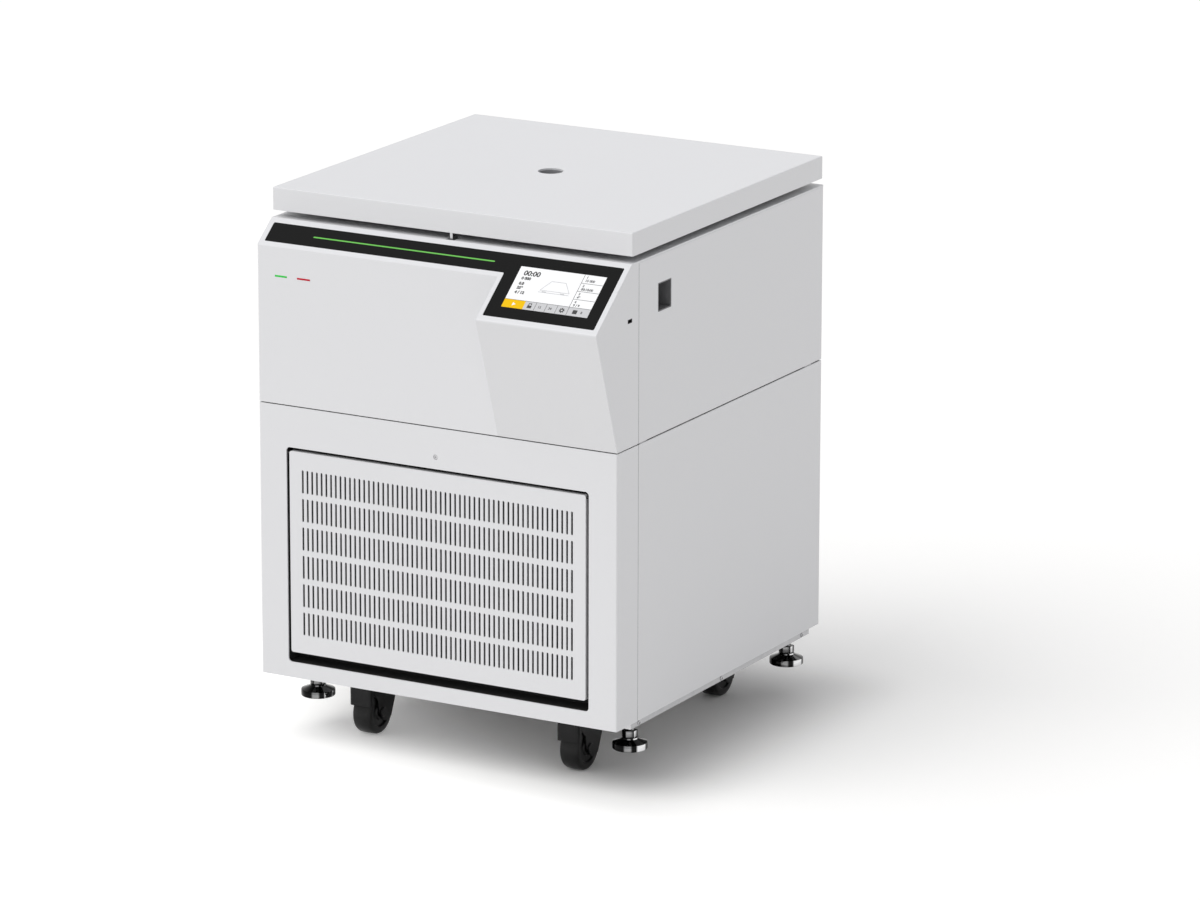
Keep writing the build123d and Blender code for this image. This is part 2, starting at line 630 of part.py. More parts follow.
liner_top_z = lid_bottom_z + 3
knuckle_radius = 10.0
with BuildPart() as lid_liner:
    box_between(-half_width + lid_wall, half_width - lid_wall, lid_front_y + lid_wall, lid_back_y - lid_wall,
                lid_bottom_z, liner_top_z)
    disc(0, axis_y, liner_pad_z, liner_top_z, 262)
    disc(0, axis_y, liner_top_z - 1, lid_top_z - lid_wall, viewport_radius + 6)
    for side in (-1, 1):
        for near, far in ((-16, -5), (5, 16)):
            x0 = side * hinge_x + near
            x1 = side * hinge_x + far
            box_between(x0, x1, hinge_y - knuckle_radius, hinge_y + knuckle_radius, liner_top_z - 1, hinge_z)
            with Locations(Pos((x0 + x1) / 2, hinge_y, hinge_z) * Rot(0, 90, 0)):
                Cylinder(knuckle_radius, x1 - x0)
        with Locations(Pos(side * hinge_x, hinge_y, hinge_z) * Rot(0, 90, 0)):
            Cylinder(hinge_pin_radius + running_gap, 60, mode=Mode.SUBTRACT)
        box_between(side * hinge_x - notch_half, side * hinge_x + notch_half, hinge_y - 17, lid_back_y + 5,
                    lid_bottom_z - 5, liner_top_z + 1, mode=Mode.SUBTRACT)
    disc(0, axis_y, liner_pad_z - 5, lid_top_z, viewport_radius, mode=Mode.SUBTRACT)
finish(lid_liner, "lid_liner")

with BuildPart() as viewport_glass:
    disc(0, axis_y, 940, 955, viewport_radius)
finish(viewport_glass, "viewport_glass")

# Striker plate under the lid's front edge, with the eye for the lock's bolt
striker_low_z = 879.0
striker_half_width = 9.0
striker_eye_radius = 6.5
bolt_z = 890.0
with BuildPart() as lid_striker:
    box_between(-2.5, 2.5, striker_y - striker_half_width, striker_y + striker_half_width,
                striker_low_z, lid_bottom_z)
    with Locations(Pos(0, striker_y, bolt_z) * Rot(0, 90, 0)):
        Cylinder(striker_eye_radius, 20, mode=Mode.SUBTRACT)
finish(lid_striker, "lid_striker")

# Lid hinges: two brackets on the deck, each with its pin
with BuildPart() as lid_hinges:
    for side in (-1, 1):
        box_between(side * hinge_x - 15, side * hinge_x + 15, 362, 398, deck_z, deck_z + 2.5)
        box_between(side * hinge_x - 3, side * hinge_x + 3, hinge_y - 9, hinge_y + 9, deck_z, hinge_z)
        with Locations(Pos(side * hinge_x, hinge_y, hinge_z) * Rot(0, 90, 0)):
            Cylinder(9, 6)
            Cylinder(hinge_pin_radius, 34)
finish(lid_hinges, "lid_hinges")

# Lid lock under the deck: a motor housing and the bolt that slides through the striker
bolt_radius = 4.0
bolt_x0 = 9.0
bolt_x1 = 49.0
with BuildPart() as lid_lock:
    box_between(5, 62, striker_y - 9, striker_y + 13, 872, cover_top_z - sheet)
    with Locations(Pos(30, striker_y, bolt_z) * Rot(0, 90, 0)):
        Cylinder(bolt_radius + running_gap, 52, mode=Mode.SUBTRACT)
finish(lid_lock, "lid_lock")

with BuildPart() as lock_bolt:
    with Locations(Pos((bolt_x0 + bolt_x1) / 2, striker_y, bolt_z) * Rot(0, 90, 0)):
        Cylinder(bolt_radius, bolt_x1 - bolt_x0)
    chamfer(lock_bolt.edges().group_by(Axis.X)[0], 1)
finish(lock_bolt, "lock_bolt")

# Screws: three along each side of the base, one behind the front cover's hole, six on the rear panel
base_screw_ys = (-249.0, 44.0, 343.0)
base_screw_z = 116.0
rear_screw_zs = (150.0, 560.0, 880.0)
with BuildPart() as cover_screws:
    for side in (-1, 1):
        for y in base_screw_ys:
            with Locations(Pos(side * 348.4, y, base_screw_z) * Rot(0, 90, 0)):
                Cylinder(3.6, 1.8)
        for z in rear_screw_zs:
            with Locations(Pos(side * 315, back_y - sheet + 0.9, z) * Rot(90, 0, 0)):
                Cylinder(4.5, 1.8)
    with Locations(Pos(0, front_y + sheet + 3, lock_screw_z) * Rot(90, 0, 0)):
        Cylinder(6, 6)
finish(cover_screws, "cover_screws")

# Levelling feet: a pad with a cone, and a threaded spindle with its hexagon
pad_low_z = 55.0
pad_rim_z = 67.0
pad_top_z = 75.0
spindle_low_z = 62.0
spindle_top_z = 196.0
hex_low_z = 76.0
hex_high_z = 88.0
for name, (x, y) in zip(corner_names, corner_list(foot_x, foot_ys)):
    with BuildPart() as foot_pad:
        with BuildSketch(Plane.XZ.offset(-y)):
            with BuildLine():
                Polyline((x, pad_low_z), (x + 29, pad_low_z), (x + 30, pad_low_z + 1), (x + 30, pad_rim_z - 2),
                         (x + 28, pad_rim_z), (x + 14, pad_top_z), (x + spindle_radius + running_gap, pad_top_z),
                         (x + spindle_radius + running_gap, spindle_low_z), (x, spindle_low_z), close=True)
            make_face()
        revolve(axis=Axis((x, y, 0), (0, 0, 1)))
    finish(foot_pad, f"foot_pad_{name}")
    with BuildPart() as foot_spindle:
        disc(x, y, spindle_low_z, spindle_top_z, spindle_radius)
        with BuildSketch(Plane.XY.offset(hex_low_z)):
            with Locations((x, y)):
                RegularPolygon(12, 6, major_radius=False)
        extrude(amount=hex_high_z - hex_low_z)
    finish(foot_spindle, f"foot_spindle_{name}")

# Casters: a hooded fork on a swivel stem, and a tyred wheel on the fork's axle
fork_half = 21.5
fork_slot = 19.0
axle_radius = 5.0
wheel_half = 18.0
wheel_gap = 2.0
fork_top_z = 107.5
hood_low_z = 58.0
hood_front = 42.0
hood_depth = 12.0
for name, (x, y) in zip(corner_names, corner_list(caster_x, caster_ys)):
    swivel_y = y + caster_trail
    with BuildPart() as caster_fork:
        with BuildSketch(Plane.YZ.offset(x - fork_half)):
            with BuildLine():
                Polyline((y - hood_front, 88), (y - hood_front, fork_top_z), (y + 62, fork_top_z),
                         (y + 27, 26), (y + 8, 22))
                ThreePointArc((y + 8, 22), (y - 10, 40), (y - 16, 64))
                Polyline((y - 16, 64), (y - hood_front, 88))
            make_face()
        extrude(amount=2 * fork_half)
        box_between(x - fork_half, x + fork_half, y - hood_front, y - hood_front + hood_depth,
                    hood_low_z, fork_top_z)
        fillet(caster_fork.edges().filter_by(Axis.Z).group_by(Axis.Y)[0], 6)
        with BuildSketch(Plane.YZ.offset(x - fork_slot)):
            with Locations((y, wheel_radius)):
                Circle(wheel_radius + wheel_gap)
            with BuildLine():
                Polyline((y - 60, 0), (y - wheel_radius - wheel_gap, wheel_radius),
                         (y + wheel_radius + wheel_gap, wheel_radius), (y + 60, 0), close=True)
            make_face()
        extrude(amount=2 * fork_slot, mode=Mode.SUBTRACT)
        disc(x, swivel_y, 100, frame_z + 10, stem_radius)
        with Locations(Pos(x, y, wheel_radius) * Rot(0, 90, 0)):
            Cylinder(axle_radius, 2 * fork_half + 4)
    finish(caster_fork, f"caster_fork_{name}")
    with BuildPart() as caster_wheel:
        with Locations(Pos(x, y, wheel_radius) * Rot(0, 90, 0)):
            Cylinder(wheel_radius, 2 * wheel_half)
        fillet(caster_wheel.edges().filter_by(GeomType.CIRCLE), 4)
        with Locations(Pos(x, y, wheel_radius) * Rot(0, 90, 0)):
            Cylinder(axle_radius + running_gap, 60, mode=Mode.SUBTRACT)
    finish(caster_wheel, f"caster_wheel_{name}")
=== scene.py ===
import math
import bpy
from mathutils import Matrix, Vector


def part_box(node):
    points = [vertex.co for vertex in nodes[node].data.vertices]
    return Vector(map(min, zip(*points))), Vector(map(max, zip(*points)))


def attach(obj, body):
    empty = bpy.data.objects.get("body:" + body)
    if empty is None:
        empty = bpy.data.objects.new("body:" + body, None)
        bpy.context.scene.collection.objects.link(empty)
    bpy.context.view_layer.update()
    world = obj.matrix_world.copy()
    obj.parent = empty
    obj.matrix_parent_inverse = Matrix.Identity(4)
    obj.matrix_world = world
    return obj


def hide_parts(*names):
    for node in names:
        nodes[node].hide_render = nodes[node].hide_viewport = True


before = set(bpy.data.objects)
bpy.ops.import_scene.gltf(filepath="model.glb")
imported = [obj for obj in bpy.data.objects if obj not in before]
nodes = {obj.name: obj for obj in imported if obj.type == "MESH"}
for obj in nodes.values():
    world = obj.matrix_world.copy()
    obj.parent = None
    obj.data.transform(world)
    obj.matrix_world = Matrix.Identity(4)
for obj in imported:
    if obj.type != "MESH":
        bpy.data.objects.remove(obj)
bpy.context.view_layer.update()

mm = 0.001
corners = ("front_left", "front_right", "rear_left", "rear_right")
print("frame loaded:", len(nodes), "nodes")


# Camera, at the photograph's viewing angle
cameraPlan = {
    "spot": (5.4265, -9.4332, 3.4172),
    "azimuth": 29.304,
    "elevation": 15.07,
    "roll": 0.1,
    "lens": 195.73,
    "sensorWidth": 36.0,
    "clipEnd": 200.0,
}


def makeCamera(plan):
    azimuth, elevation, roll = (math.radians(plan[key]) for key in ("azimuth", "elevation", "roll"))
    back = Vector((math.sin(azimuth) * math.cos(elevation), -math.cos(azimuth) * math.cos(elevation),
                   math.sin(elevation)))
    right = Vector((math.cos(azimuth), math.sin(azimuth), 0.0))
    up = back.cross(right)
    rightRolled = right * math.cos(roll) + up * math.sin(roll)
    upRolled = up * math.cos(roll) - right * math.sin(roll)
    bpy.ops.object.camera_add()
    camera = bpy.context.object
    camera.data.lens = plan["lens"]
    camera.data.sensor_width = plan["sensorWidth"]
    camera.data.clip_end = plan["clipEnd"]
    turn = Matrix((rightRolled, upRolled, back)).transposed().to_4x4()
    camera.matrix_world = Matrix.Translation(plan["spot"]) @ turn
    bpy.context.scene.camera = camera


makeCamera(cameraPlan)
print("camera set")


# Modelling helpers
def pickOnly(*objs):
    bpy.ops.object.select_all(action="DESELECT")
    for obj in objs:
        obj.select_set(True)
    bpy.context.view_layer.objects.active = objs[0]


def settle(obj):  # puts the object's place into its mesh
    pickOnly(obj)
    bpy.ops.object.transform_apply(location=True, rotation=True, scale=True)
    return obj


def smooth(obj, angle=30):
    pickOnly(obj)
    bpy.ops.object.shade_smooth_by_angle(angle=math.radians(angle))
    return obj


def applyAll(obj):
    pickOnly(obj)
    for modifier in list(obj.modifiers):
        bpy.ops.object.modifier_apply(modifier=modifier.name)
    return obj


def bevelled(obj, width, segments=2, angle=30):
    modifier = obj.modifiers.new("edgeRound", "BEVEL")
    modifier.width = width
    modifier.segments = segments
    modifier.limit_method = "ANGLE"
    modifier.angle_limit = math.radians(angle)
    applyAll(obj)
    return smooth(obj)


def block(name, low, high, bevel=0.0, segments=2):  # low and high corners in metres
    low, high = Vector(low), Vector(high)
    bpy.ops.object.select_all(action="DESELECT")
    bpy.ops.mesh.primitive_cube_add(size=1, location=(low + high) / 2)
    obj = bpy.context.object
    obj.name = name
    obj.scale = high - low
    settle(obj)
    if bevel > 0:
        bevelled(obj, bevel, segments)
    return obj


def turned(name, steps, sides=48, angle=30):  # steps of (radius, height) from the bottom up, about local Z
    bpy.ops.object.select_all(action="DESELECT")
    bpy.ops.mesh.primitive_circle_add(vertices=sides, radius=steps[0][0], fill_type="NGON",
                                      location=(0, 0, steps[0][1]))
    obj = bpy.context.object
    obj.name = name
    bpy.ops.object.mode_set(mode="EDIT")
    bpy.ops.mesh.select_all(action="SELECT")
    radius, height = steps[0]
    for nextRadius, nextHeight in steps[1:]:
        bpy.ops.mesh.extrude_region_move(TRANSFORM_OT_translate={"value": (0, 0, nextHeight - height)})
        ratio = nextRadius / radius
        bpy.ops.transform.resize(value=(ratio, ratio, 1))
        radius, height = nextRadius, nextHeight
    bpy.ops.mesh.select_all(action="SELECT")
    bpy.ops.mesh.normals_make_consistent(inside=False)
    bpy.ops.object.mode_set(mode="OBJECT")
    settle(obj)
    return smooth(obj, angle)


def inMetres(steps):
    return [(radius * mm, height * mm) for radius, height in steps]


def place(obj, matrix):
    obj.matrix_world = matrix @ obj.matrix_world
    return settle(obj)


def copied(obj, name, matrix):
    pickOnly(obj)
    bpy.ops.object.duplicate()
    twin = bpy.context.object
    twin.name = name
    return place(twin, matrix)


def joined(name, objs):
    pickOnly(*objs)
    if len(objs) > 1:
        bpy.ops.object.join()
    obj = bpy.context.object
    obj.name = name
    return obj


def move(x, y, z):
    return Matrix.Translation((x, y, z))


alongX = Matrix.Rotation(math.radians(90), 4, "Y")
alongY = Matrix.Rotation(math.radians(-90), 4, "X")


def paint(obj, material):
    obj.data.materials.clear()
    obj.data.materials.append(material)
    return obj


def addPiece(obj, body, material, replaced=()):
    paint(obj, material)
    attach(obj, body)
    if replaced:
        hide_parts(*replaced)
    return obj


# Shared shader effects
def makeGroup(name, inputs, outputs):
    group = bpy.data.node_groups.new(name, "ShaderNodeTree")
    for label, kind, value in inputs:
        socket = group.interface.new_socket(name=label, in_out="INPUT", socket_type=kind)
        socket.default_value = value
    for label, kind in outputs:
        group.interface.new_socket(name=label, in_out="OUTPUT", socket_type=kind)
    entry = group.nodes.new("NodeGroupInput")
    leave = group.nodes.new("NodeGroupOutput")
    return group, entry, leave


def addNode(tree, kind, **settings):
    node = tree.nodes.new(kind)
    for key, value in settings.items():
        setattr(node, key, value)
    return node


def addMath(tree, operation, first, second):
    node = addNode(tree, "ShaderNodeMath", operation=operation)
    for index, value in enumerate((first, second)):
        if isinstance(value, (int, float)):
            node.inputs[index].default_value = value
        else:
            tree.links.new(value, node.inputs[index])
    return node.outputs[0]


def mapped(tree, value, low, high):  # a smooth 0 to 1 ramp between low and high
    node = addNode(tree, "ShaderNodeMapRange", interpolation_type="SMOOTHSTEP")
    tree.links.new(value, node.inputs["Value"])
    node.inputs["From Min"].default_value = low
    node.inputs["From Max"].default_value = high
    return node.outputs["Result"]


def makeFinishSkin():  # orange peel and cloudy roughness and shade, on painted and moulded skins
    group, entry, leave = makeGroup(
        "finishSkin",
        [("Color", "NodeSocketColor", (0.8, 0.8, 0.8, 1)), ("Roughness", "NodeSocketFloat", 0.4),
         ("Peel Scale", "NodeSocketFloat", 900.0), ("Cloud Scale", "NodeSocketFloat", 6.0),
         ("Roughness Spread", "NodeSocketFloat", 0.08), ("Shade Spread", "NodeSocketFloat", 0.03)],
        [("Color", "NodeSocketColor"), ("Roughness", "NodeSocketFloat"), ("Height", "NodeSocketFloat")])
    links = group.links
    coords = addNode(group, "ShaderNodeTexCoord")
    peel = addNode(group, "ShaderNodeTexNoise")
    peel.inputs["Detail"].default_value = 2.0
    cloud = addNode(group, "ShaderNodeTexNoise")
    cloud.inputs["Detail"].default_value = 5.0
    links.new(coords.outputs["Object"], peel.inputs["Vector"])
    links.new(coords.outputs["Object"], cloud.inputs["Vector"])
    links.new(entry.outputs["Peel Scale"], peel.inputs["Scale"])
    links.new(entry.outputs["Cloud Scale"], cloud.inputs["Scale"])
    centred = addMath(group, "SUBTRACT", cloud.outputs["Fac"], 0.5)
    roughShift = addMath(group, "MULTIPLY", centred, entry.outputs["Roughness Spread"])
    links.new(addMath(group, "ADD", entry.outputs["Roughness"], roughShift), leave.inputs["Roughness"])
    shade = addMath(group, "ADD", addMath(group, "MULTIPLY", centred, entry.outputs["Shade Spread"]), 1.0)
    scaled = addNode(group, "ShaderNodeVectorMath", operation="SCALE")
    links.new(entry.outputs["Color"], scaled.inputs[0])
    links.new(shade, scaled.inputs["Scale"])
    links.new(scaled.outputs[0], leave.inputs["Color"])
    links.new(peel.outputs["Fac"], leave.inputs["Height"])
    return group


def makeMachinedSkin():  # long fine scratches along one axis, for steel and alloy
    group, entry, leave = makeGroup(
        "machinedSkin",
        [("Color", "NodeSocketColor", (0.6, 0.6, 0.6, 1)), ("Roughness", "NodeSocketFloat", 0.3),
         ("Stretch", "NodeSocketVector", (40.0, 40.0, 900.0)), ("Roughness Spread", "NodeSocketFloat", 0.15),
         ("Shade Spread", "NodeSocketFloat", 0.12)],
        [("Color", "NodeSocketColor"), ("Roughness", "NodeSocketFloat"), ("Height", "NodeSocketFloat")])
    links = group.links
    coords = addNode(group, "ShaderNodeTexCoord")
    stretched = addNode(group, "ShaderNodeVectorMath", operation="MULTIPLY")
    links.new(coords.outputs["Object"], stretched.inputs[0])
    links.new(entry.outputs["Stretch"], stretched.inputs[1])
    grain = addNode(group, "ShaderNodeTexNoise")
    grain.inputs["Scale"].default_value = 1.0
    grain.inputs["Detail"].default_value = 3.0
    links.new(stretched.outputs[0], grain.inputs["Vector"])
    centred = addMath(group, "SUBTRACT", grain.outputs["Fac"], 0.5)
    roughShift = addMath(group, "MULTIPLY", centred, entry.outputs["Roughness Spread"])
    links.new(addMath(group, "ADD", entry.outputs["Roughness"], roughShift), leave.inputs["Roughness"])
    shade = addMath(group, "ADD", addMath(group, "MULTIPLY", centred, entry.outputs["Shade Spread"]), 1.0)
    scaled = addNode(group, "ShaderNodeVectorMath", operation="SCALE")
    links.new(entry.outputs["Color"], scaled.inputs[0])
    links.new(shade, scaled.inputs["Scale"])
    links.new(scaled.outputs[0], leave.inputs["Color"])
    links.new(grain.outputs["Fac"], leave.inputs["Height"])
    return group


finishSkin = makeFinishSkin()
machinedSkin = makeMachinedSkin()


def makeMaterial(name, group, look, bump, bumpDepth, plain=None):
    material = bpy.data.materials.new(name)
    material.use_nodes = True
    tree = material.node_tree
    shader = tree.nodes["Principled BSDF"]
    skin = tree.nodes.new("ShaderNodeGroup")
    skin.node_tree = group
    for key, value in look.items():
        skin.inputs[key].default_value = (*value, 1) if key == "Color" else value
    tree.links.new(skin.outputs["Color"], shader.inputs["Base Color"])
    tree.links.new(skin.outputs["Roughness"], shader.inputs["Roughness"])
    if bump > 0:
        relief = tree.nodes.new("ShaderNodeBump")
        relief.inputs["Strength"].default_value = bump
        relief.inputs["Distance"].default_value = bumpDepth
        tree.links.new(skin.outputs["Height"], relief.inputs["Height"])
        tree.links.new(relief.outputs["Normal"], shader.inputs["Normal"])
    for key, value in (plain or {}).items():
        shader.inputs[key].default_value = value
    return material


def skinMaterial(name, color, roughness, peel=900.0, bump=0.15, depth=0.00005, shade=0.03, plain=None):
    look = {"Color": color, "Roughness": roughness, "Peel Scale": peel, "Shade Spread": shade}
    return makeMaterial(name, finishSkin, look, bump, depth, plain)


def metalMaterial(name, color, roughness, stretch, bump=0.1, depth=0.00003, shade=0.12, spread=0.15,
                  plain=None):
    look = {"Color": color, "Roughness": roughness, "Stretch": stretch, "Shade Spread": shade,
            "Roughness Spread": spread}
    return makeMaterial(name, machinedSkin, look, bump, depth, {"Metallic": 1.0, **(plain or {})})


whitePaint = skinMaterial("whitePaint", (0.755, 0.755, 0.765), 0.38, shade=0.012)
# the lid liner's dark grey is painted shade, for the shadow in the gap under the lid
linerPaintedShade = skinMaterial("linerPaintedShade", (0.30, 0.30, 0.31), 0.45, shade=0.02)
blackGlass = skinMaterial("blackGlass", (0.004, 0.004, 0.004), 0.13, bump=0.0,
                          plain={"Specular IOR Level": 0.12})
screenWhite = skinMaterial("screenWhite", (0.86, 0.86, 0.86), 0.3, bump=0.0, shade=0.0,
                           plain={"Specular IOR Level": 0.2, "Emission Color": (1, 1, 1, 1),
                                  "Emission Strength": 0.12})
greenLight = skinMaterial("greenLight", (0.08, 0.36, 0.04), 0.3, bump=0.0, shade=0.2,
                          plain={"Emission Color": (0.16, 0.70, 0.06, 1), "Emission Strength": 0.25})
lampGreen = skinMaterial("lampGreen", (0.03, 0.52, 0.06), 0.5, bump=0.0,
                         plain={"Specular IOR Level": 0.1, "Emission Color": (0.05, 0.7, 0.1, 1),
                                "Emission Strength": 0.1})
lampRed = skinMaterial("lampRed", (0.50, 0.012, 0.03), 0.5, bump=0.0,
                       plain={"Specular IOR Level": 0.1, "Emission Color": (0.6, 0.01, 0.03, 1),
                              "Emission Strength": 0.05})
blackPlastic = skinMaterial("blackPlastic", (0.012, 0.012, 0.012), 0.5, peel=1500.0, bump=0.3)
pocketPlastic = skinMaterial("pocketPlastic", (0.16, 0.16, 0.165), 0.45, peel=1500.0, bump=0.3)
rockerPlastic = skinMaterial("rockerPlastic", (0.010, 0.010, 0.010), 0.18, peel=1500.0, bump=0.1)
ductBlack = skinMaterial("ductBlack", (0.008, 0.008, 0.008), 0.7, peel=700.0, bump=0.3)
blackPaint = skinMaterial("blackPaint", (0.03, 0.03, 0.032), 0.42)
boxPaint = skinMaterial("boxPaint", (0.35, 0.36, 0.38), 0.5)
guardPaint = skinMaterial("guardPaint", (0.16, 0.16, 0.17), 0.6, peel=300.0, bump=0.3)
sealRubber = skinMaterial("sealRubber", (0.02, 0.02, 0.02), 0.65, peel=1200.0, bump=0.3)
casterPlastic = skinMaterial("casterPlastic", (0.004, 0.004, 0.0045), 0.30, peel=1300.0, bump=0.15,
                             plain={"Specular IOR Level": 0.22})
tyreRubber = skinMaterial("tyreRubber", (0.005, 0.005, 0.005), 0.36, peel=1100.0, bump=0.2,
                          plain={"Specular IOR Level": 0.25})
yellowKey = skinMaterial("yellowKey", (0.93, 0.56, 0.002), 0.4, bump=0.0, shade=0.0,
                         plain={"Specular IOR Level": 0.1})
greyKey = skinMaterial("greyKey", (0.60, 0.60, 0.61), 0.3, bump=0.0, shade=0.0)
inkBlack = skinMaterial("inkBlack", (0.01, 0.01, 0.01), 0.4, bump=0.0, shade=0.0)
inkGrey = skinMaterial("inkGrey", (0.05, 0.05, 0.052), 0.4, bump=0.0, shade=0.0)
inkFaint = skinMaterial("inkFaint", (0.55, 0.55, 0.56), 0.4, bump=0.0, shade=0.0)
keyWhite = skinMaterial("keyWhite", (0.95, 0.95, 0.95), 0.3, bump=0.0, shade=0.0)
galvanised = metalMaterial("galvanised", (0.52, 0.52, 0.53), 0.38, (60.0, 60.0, 60.0), shade=0.25)
finAlloy = metalMaterial("finAlloy", (0.20, 0.20, 0.21), 0.5, (80.0, 80.0, 300.0))
copperTube = metalMaterial("copperTube", (0.45, 0.22, 0.12), 0.4, (300.0, 60.0, 60.0))
stainless = metalMaterial("stainless", (0.60, 0.60, 0.59), 0.24, (30.0, 30.0, 900.0))
shaftSteel = metalMaterial("shaftSteel", (0.55, 0.55, 0.55), 0.22, (60.0, 60.0, 900.0))
rotorAlloy = metalMaterial("rotorAlloy", (0.36, 0.37, 0.39), 0.36, (70.0, 70.0, 900.0))
bucketAlloy = metalMaterial("bucketAlloy", (0.20, 0.215, 0.24), 0.34, (70.0, 70.0, 700.0))
screwSteel = metalMaterial("screwSteel", (0.45, 0.45, 0.46), 0.25, (300.0, 300.0, 300.0))
windowGlass = skinMaterial("windowGlass", (0.82, 0.85, 0.86), 0.05, bump=0.0, shade=0.0,
                           plain={"Transmission Weight": 1.0, "IOR": 1.49})

# the feet's chrome colour is painted reflection: bright and dark bands by facing direction, painted darker
# towards the top
paintedReflectionPlan = {
    "stops": ((0.0, 0.30), (0.06, 0.01), (0.27, 0.008), (0.285, 0.20), (0.335, 0.24), (0.35, 0.01),
              (0.39, 0.01), (0.405, 0.75), (0.49, 0.80), (0.51, 0.04), (0.75, 0.02), (0.80, 0.35),
              (0.93, 0.30)),  # painted reflection bands: where round the compass, how bright
    "coolness": 1.01, "topFrom": 0.45, "topTo": 0.75, "topDim": 0.85,
    "roughness": 0.05, "smear": 0.05, "smearScale": 60.0,
}


def makeReflectionPaintedChrome(plan):  # polished metal with painted reflections: bands of a dark studio with bright panels, painted into its colour by facing direction, and painted darker towards the top
    group, entry, leave = makeGroup("paintedReflectionBands", [("Roughness", "NodeSocketFloat", 0.08)],
                                    [("Color", "NodeSocketColor"), ("Roughness", "NodeSocketFloat")])
    coords = addNode(group, "ShaderNodeTexCoord")
    split = addNode(group, "ShaderNodeSeparateXYZ")
    group.links.new(coords.outputs["Normal"], split.inputs[0])
    azimuth = addMath(group, "ARCTAN2", split.outputs["Y"], split.outputs["X"])
    turn = addMath(group, "ADD", addMath(group, "DIVIDE", azimuth, 2 * math.pi), 0.5)
    ramp = addNode(group, "ShaderNodeValToRGB")
    group.links.new(turn, ramp.inputs["Fac"])
    for index, (where, level) in enumerate(plan["stops"]):
        stop = ramp.color_ramp.elements[index] if index < 2 else ramp.color_ramp.elements.new(where)
        stop.position = where
        stop.color = (level, level, level * plan["coolness"], 1)
    upward = mapped(group, split.outputs["Z"], plan["topFrom"], plan["topTo"])
    dim = addMath(group, "SUBTRACT", 1.0, addMath(group, "MULTIPLY", upward, plan["topDim"]))
    scaled = addNode(group, "ShaderNodeVectorMath", operation="SCALE")
    group.links.new(ramp.outputs["Color"], scaled.inputs[0])
    group.links.new(dim, scaled.inputs["Scale"])
    group.links.new(scaled.outputs[0], leave.inputs["Color"])
    cloud = addNode(group, "ShaderNodeTexNoise")
    cloud.inputs["Scale"].default_value = plan["smearScale"]
    group.links.new(coords.outputs["Object"], cloud.inputs["Vector"])
    smear = addMath(group, "MULTIPLY", cloud.outputs["Fac"], plan["smear"])
    group.links.new(addMath(group, "ADD", entry.outputs["Roughness"], smear), leave.inputs["Roughness"])
    look = {"Roughness": plan["roughness"]}
    return makeMaterial("reflectionPaintedChrome", group, look, bump=0.0, bumpDepth=0.0, plain={"Metallic": 1.0})


reflectionPaintedChrome = makeReflectionPaintedChrome(paintedReflectionPlan)

nodeFinish = {
    whitePaint: ["front_cover_lower", "front_cover_upper", "side_panel_left_lower", "side_panel_left_upper",
                 "side_panel_right_lower", "side_panel_right_upper", "rear_panel", "lid_shell", "grille_door",
                 "deck_plate"],
    # the liner takes the painted shade of the gap under the lid
    linerPaintedShade: ["lid_liner"],
    galvanised: ["base_frame", "inner_frame", "lid_hinges", "lid_striker", "lid_lock"],
    shaftSteel: ["lock_bolt", "drive_shaft"],
    blackGlass: ["control_glass"],
    screenWhite: ["display_screen"],
    greenLight: ["status_light_bar"],
    lampGreen: ["indicator_lamps"],
    blackPlastic: ["usb_socket", "mains_inlet", "fan_wheel"],
    pocketPlastic: ["switch_pocket"],
    rockerPlastic: ["power_rocker"],
    ductBlack: ["door_recess"],
    finAlloy: ["condenser"],
    blackPaint: ["drive_motor", "fan_motor", "compressor"],
    boxPaint: ["electronics_box"],
    stainless: ["chamber_bowl"],
    guardPaint: ["guard_ring"],
    sealRubber: ["chamber_seal"],
    rotorAlloy: ["rotor", "rotor_nut"],
    bucketAlloy: ["bucket_1", "bucket_2", "bucket_3", "bucket_4"],
    windowGlass: ["viewport_glass"],
    screwSteel: ["cover_screws"],
    reflectionPaintedChrome: [f"foot_{part}_{corner}" for part in ("pad", "spindle") for corner in corners],
    casterPlastic: [f"caster_fork_{corner}" for corner in corners],
    tyreRubber: [f"caster_wheel_{corner}" for corner in corners],
}
for material, names in nodeFinish.items():
    for name in names:
        paint(nodes[name], material)
print("materials made")


# Screen graphics, laid on the leaning fascia: x along the machine, s up the slope
fasciaPlan = {"frontY": -0.330, "lineZ": 0.8783, "run": 0.7818, "rise": 0.6235}
fasciaTurn = Matrix(((1, 0, 0), (0, fasciaPlan["run"], -fasciaPlan["rise"]),
                     (0, fasciaPlan["rise"], fasciaPlan["run"]))).to_4x4()
onFascia = move(0, fasciaPlan["frontY"], fasciaPlan["lineZ"]) @ fasciaTurn

